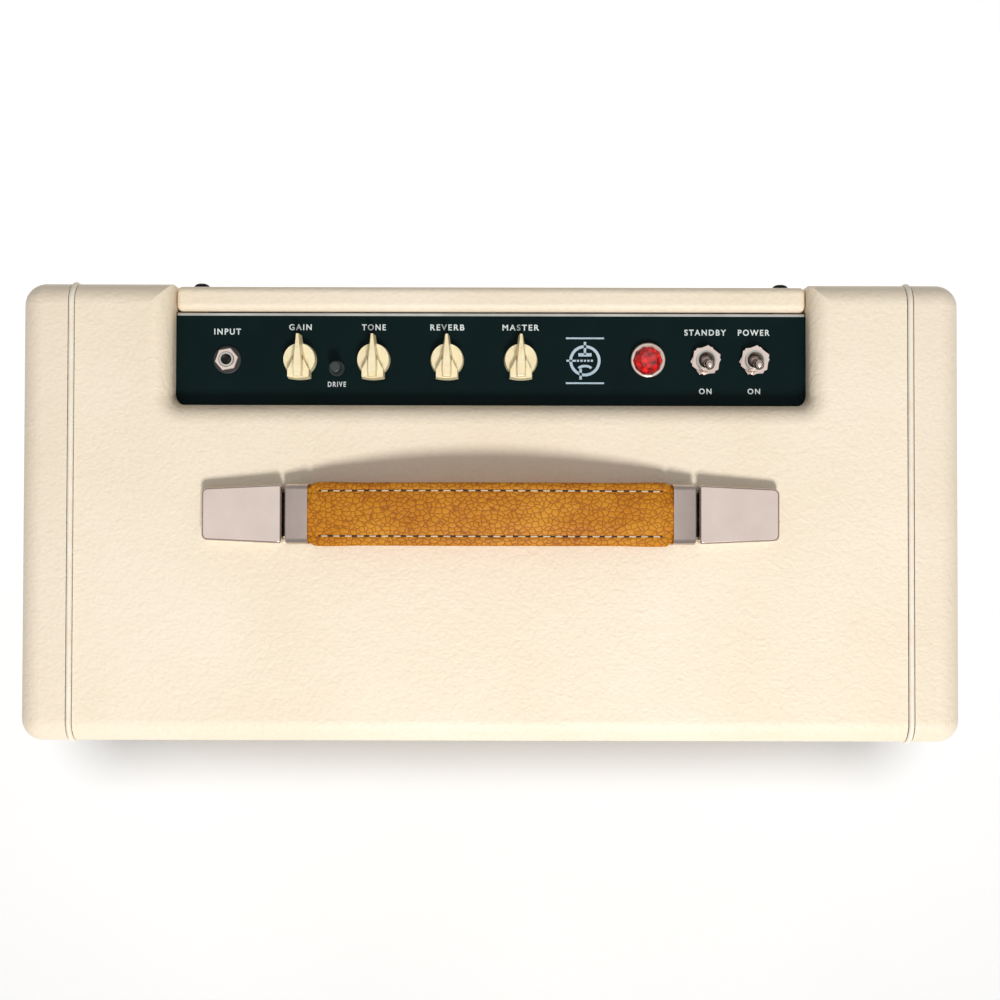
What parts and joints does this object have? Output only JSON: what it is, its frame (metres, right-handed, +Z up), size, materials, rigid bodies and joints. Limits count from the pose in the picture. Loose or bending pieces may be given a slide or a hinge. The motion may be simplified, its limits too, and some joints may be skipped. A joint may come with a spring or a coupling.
{
  "type": "guitar amplifier head",
  "caption": "Valve guitar amplifier head in a cream covered cabinet, with top-mounted controls in a rear recess, a leather strap handle and a cloth-fronted window",
  "frame": {"origin": "on the floor under the centre of the cabinet", "axes": "+X to the right seen from the front, -Y towards the front window, +Z up"},
  "size_m": [0.559, 0.2773, 0.279],
  "materials": {
    "wood": "bare birch ply",
    "centre_vinyl": "cream vinyl covering with a fine leather grain",
    "side_vinyl": "cream vinyl covering with a fine leather grain",
    "panel_vinyl": "ply panel in the same cream vinyl",
    "piping": "off-white vinyl piping",
    "grille_cloth": "woven tan and cream cloth",
    "trim": "off-white vinyl bead",
    "black_steel": "satin black",
    "rubber": "black rubber",
    "steel": "zinc plated",
    "nickel": "polished nickel",
    "leather": "tan strap leather",
    "faceplate": "dark green-black enamel",
    "black_plastic": "moulded black",
    "brass": "turned brass",
    "ivory": "ivory phenolic",
    "button": "black",
    "jewel": "red faceted",
    "lamp": "clear bulb",
    "board": "brown fibre board",
    "transformer": "black enamel",
    "valve_glass": "clear glass",
    "ceramic": "white ceramic"
  },
  "bodies": {
    "cabinet": {"battens": "wood", "bottom_board": "wood", "bushing_nuts": "nickel", "centre_covering": "centre_vinyl", "chassis": "steel", "chassis_cover": "steel", "circuit_board": "board", "drive_switch": "button", "faceplate": "faceplate", "feet": "rubber", "foot_screws": "steel", "front_board": "wood", "fuse_holder": "black_plastic", "grille_cloth": "grille_cloth", "grille_frame": "wood", "handle_caps": "nickel", "input_jack": "steel", "jack_washer": "black_plastic", "machine_screws": "steel", "mains_inlet": "black_plastic", "octal_valves": "valve_glass", "output_transformer": "transformer", "panel_screws": "black_steel", "pilot_bezel": "nickel", "pilot_jewel": "jewel", "pilot_lamp": "lamp", "piping": "piping", "potentiometers": "steel", "power_transformer": "transformer", "preamp_valves": "valve_glass", "rear_frame": "wood", "rear_jacks": "black_plastic", "rear_panel": "panel_vinyl", "rear_vent": "black_steel", "reverb_tank": "steel", "side_boards": "wood", "side_coverings": "side_vinyl", "tank_springs": "steel", "toggle_nuts": "nickel", "toggle_switches": "steel", "top_board": "wood", "valve_sockets": "ceramic", "window_trim": "trim"},
    "drive_plunger": {"drive_button": "button"},
    "standby_bat": {"standby_lever": "nickel"},
    "power_bat": {"power_lever": "nickel"},
    "fuse_carrier": {"fuse_cap": "black_plastic"},
    "grip": {"handle_grip": "leather"},
    "left_handle": {"left_strap": "leather", "left_ferrule": "nickel"},
    "right_handle": {"right_strap": "leather", "right_ferrule": "nickel"},
    "gain_control": {"gain_shaft": "brass", "gain_knob": "ivory"},
    "tone_control": {"tone_shaft": "brass", "tone_knob": "ivory"},
    "reverb_control": {"reverb_shaft": "brass", "reverb_knob": "ivory"},
    "master_control": {"master_shaft": "brass", "master_knob": "ivory"}
  },
  "joints": [
    {"name": "gain_turn", "type": "hinge", "parent": "cabinet", "child": "gain_control", "pos_m": [-0.1153, 0.0919, 0.23], "axis": [0, 0, 1], "range_deg": [-150, 150]},
    {"name": "tone_turn", "type": "hinge", "parent": "cabinet", "child": "tone_control", "pos_m": [-0.07085, 0.0919, 0.23], "axis": [0, 0, 1], "range_deg": [-150, 150]},
    {"name": "reverb_turn", "type": "hinge", "parent": "cabinet", "child": "reverb_control", "pos_m": [-0.0264, 0.0919, 0.23], "axis": [0, 0, 1], "range_deg": [-150, 150]},
    {"name": "master_turn", "type": "hinge", "parent": "cabinet", "child": "master_control", "pos_m": [0.01805, 0.0919, 0.23], "axis": [0, 0, 1], "range_deg": [-150, 150]},
    {"name": "drive_press", "type": "slide", "parent": "cabinet", "child": "drive_plunger", "axis": [0, 0, -1], "range_m": [0, 0.002], "stiffness_N_per_m": 600, "springref_m": -0.001},
    {"name": "standby_throw", "type": "hinge", "parent": "cabinet", "child": "standby_bat", "pos_m": [0.1297, 0.0919, 0.2315], "axis": [-1, 0, 0], "range_deg": [0, 28]},
    {"name": "power_throw", "type": "hinge", "parent": "cabinet", "child": "power_bat", "pos_m": [0.1591, 0.0919, 0.2315], "axis": [-1, 0, 0], "range_deg": [0, 28]},
    {"name": "fuse_turn", "type": "hinge", "parent": "cabinet", "child": "fuse_carrier", "pos_m": [0.052, 0.1203, 0.196], "axis": [0, 1, 0], "range_deg": [0, 90]},
    {"name": "handle_lift", "type": "slide", "parent": "cabinet", "child": "grip", "axis": [0, 0, 1], "range_m": [-0.01, 0.008], "stiffness_N_per_m": 1500},
    {"name": "left_flex", "type": "hinge", "parent": "grip", "child": "left_handle", "pos_m": [-0.06, -0.0015, 0.2707], "axis": [0, -1, 0], "range_deg": [-9.6, 7.8]},
    {"name": "right_flex", "type": "hinge", "parent": "grip", "child": "right_handle", "pos_m": [0.06, -0.0015, 0.2707], "axis": [0, 1, 0], "range_deg": [-9.6, 7.8]}
  ],
  "couplings": [
    {"joint": "left_flex", "follows": "handle_lift", "rad_per_m": 16.077},
    {"joint": "right_flex", "follows": "handle_lift", "rad_per_m": 16.077}
  ]
}
